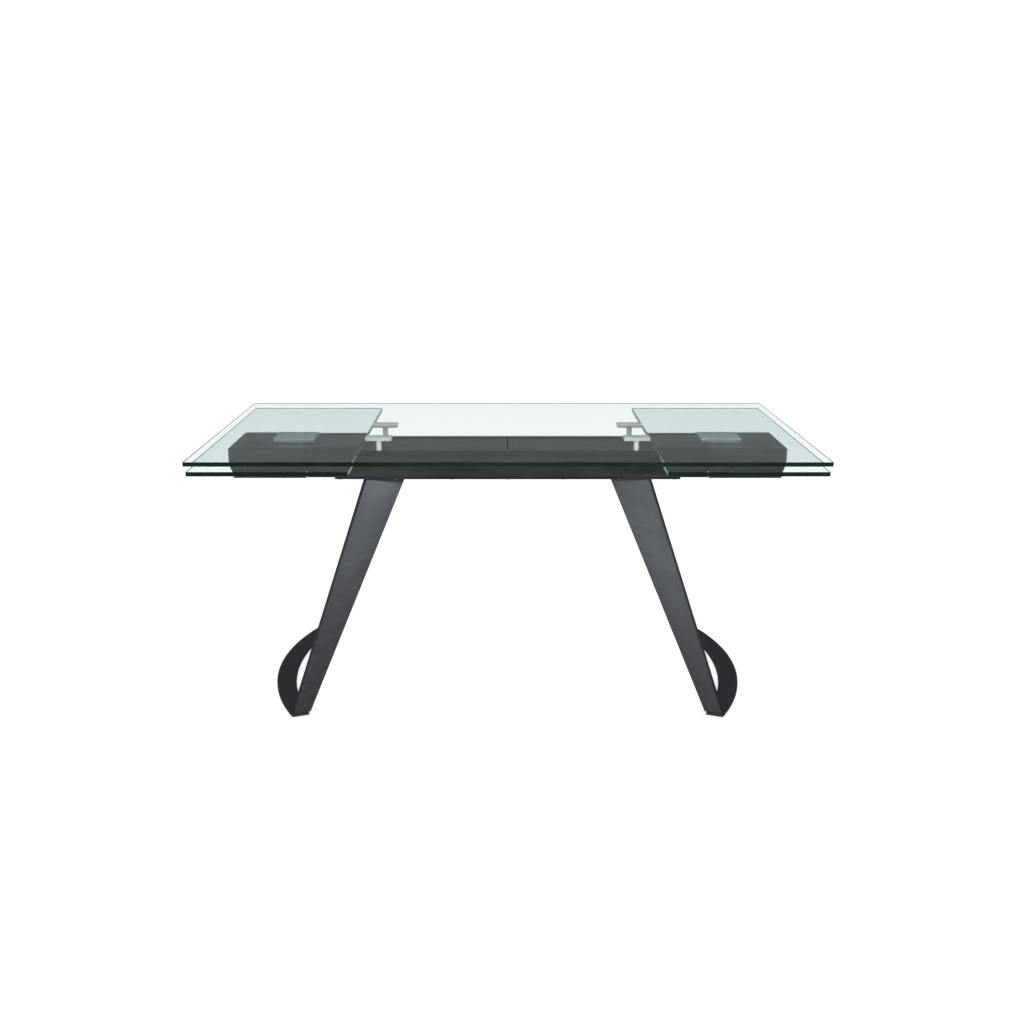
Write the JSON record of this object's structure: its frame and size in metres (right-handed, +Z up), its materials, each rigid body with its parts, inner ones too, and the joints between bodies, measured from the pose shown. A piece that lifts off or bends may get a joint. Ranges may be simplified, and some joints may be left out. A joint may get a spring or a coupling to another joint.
{
  "type": "extendable dining table",
  "caption": "Rectangular clear glass dining table on splayed steel legs joined by floor arcs, with glass leaves stowed under the top that slide out and lift.",
  "frame": {"origin": "on the floor under the middle of the closed table", "axes": "+X along the table to its right end, +Y to its rear, +Z up"},
  "size_m": [1.7, 0.9, 0.76],
  "materials": {
    "clear_glass": "polished clear float glass, green at the edges",
    "brushed_bright_steel": "bright brushed stainless steel",
    "dark_brushed_steel": "gunmetal, brushed along the table and lacquered",
    "dark_leg_steel": "gunmetal, brushed down the leg and lacquered",
    "zinc_steel": "zinc-plated",
    "black_steel": "black powder coat",
    "cast_aluminium": "machined",
    "nylon": "natural nylon",
    "rubber_pad": "matt black rubber"
  },
  "bodies": {
    "frame": {"belly_plate": "dark_brushed_steel", "belly_screws": "zinc_steel", "centre_brace": "black_steel", "floor_arc_left": "dark_leg_steel", "floor_arc_right": "dark_leg_steel", "floor_glides": "rubber_pad", "foot_screws": "zinc_steel", "housing_rail_front": "dark_brushed_steel", "housing_rail_rear": "dark_brushed_steel", "leg_bolts": "zinc_steel", "leg_front_left": "dark_leg_steel", "leg_front_right": "dark_leg_steel", "leg_head_plates": "zinc_steel", "leg_rear_left": "dark_leg_steel", "leg_rear_right": "dark_leg_steel", "leg_washers": "zinc_steel", "post_nuts": "zinc_steel", "slide_outer_front_left": "zinc_steel", "slide_outer_front_right": "zinc_steel", "slide_outer_rear_left": "zinc_steel", "slide_outer_rear_right": "zinc_steel", "stop_brace_left": "black_steel", "stop_brace_right": "black_steel", "top_glass": "clear_glass", "top_pad_front_left": "brushed_bright_steel", "top_pad_front_right": "brushed_bright_steel", "top_pad_rear_left": "brushed_bright_steel", "top_pad_rear_right": "brushed_bright_steel", "top_post_front_left": "brushed_bright_steel", "top_post_front_right": "brushed_bright_steel", "top_post_rear_left": "brushed_bright_steel", "top_post_rear_right": "brushed_bright_steel"},
    "carriage_left": {"carriage_beam_left": "dark_brushed_steel", "end_cover_left": "dark_brushed_steel", "end_floor_left": "black_steel", "cover_brackets_left": "black_steel", "lift_guide_left": "cast_aluminium", "slide_inner_front_left": "zinc_steel", "slide_inner_rear_left": "zinc_steel"},
    "slide_middle_left": {"slide_middle_front_left": "zinc_steel", "slide_middle_rear_left": "zinc_steel", "glide_strips_left": "nylon"},
    "leaf_left": {"leaf_glass_left": "clear_glass", "leaf_block_left": "brushed_bright_steel", "lift_pins_left": "zinc_steel", "lift_collars_left": "nylon"},
    "carriage_right": {"carriage_beam_right": "dark_brushed_steel", "end_cover_right": "dark_brushed_steel", "end_floor_right": "black_steel", "cover_brackets_right": "black_steel", "lift_guide_right": "cast_aluminium", "slide_inner_front_right": "zinc_steel", "slide_inner_rear_right": "zinc_steel"},
    "slide_middle_right": {"slide_middle_front_right": "zinc_steel", "slide_middle_rear_right": "zinc_steel", "glide_strips_right": "nylon"},
    "leaf_right": {"leaf_glass_right": "clear_glass", "leaf_block_right": "brushed_bright_steel", "lift_pins_right": "zinc_steel", "lift_collars_right": "nylon"}
  },
  "joints": [
    {"name": "carriage_left_slide", "type": "slide", "parent": "frame", "child": "carriage_left", "axis": [-1, 0, 0], "range_m": [0, 0.432]},
    {"name": "slide_middle_left_slide", "type": "slide", "parent": "frame", "child": "slide_middle_left", "axis": [-1, 0, 0], "range_m": [0, 0.216]},
    {"name": "leaf_left_lift", "type": "slide", "parent": "carriage_left", "child": "leaf_left", "axis": [0, 0, 1], "range_m": [0, 0.012]},
    {"name": "carriage_right_slide", "type": "slide", "parent": "frame", "child": "carriage_right", "axis": [1, 0, 0], "range_m": [0, 0.432]},
    {"name": "slide_middle_right_slide", "type": "slide", "parent": "frame", "child": "slide_middle_right", "axis": [1, 0, 0], "range_m": [0, 0.216]},
    {"name": "leaf_right_lift", "type": "slide", "parent": "carriage_right", "child": "leaf_right", "axis": [0, 0, 1], "range_m": [0, 0.012]}
  ],
  "couplings": [
    {"joint": "slide_middle_left_slide", "follows": "carriage_left_slide", "ratio": 0.5},
    {"joint": "slide_middle_right_slide", "follows": "carriage_right_slide", "ratio": 0.5}
  ]
}
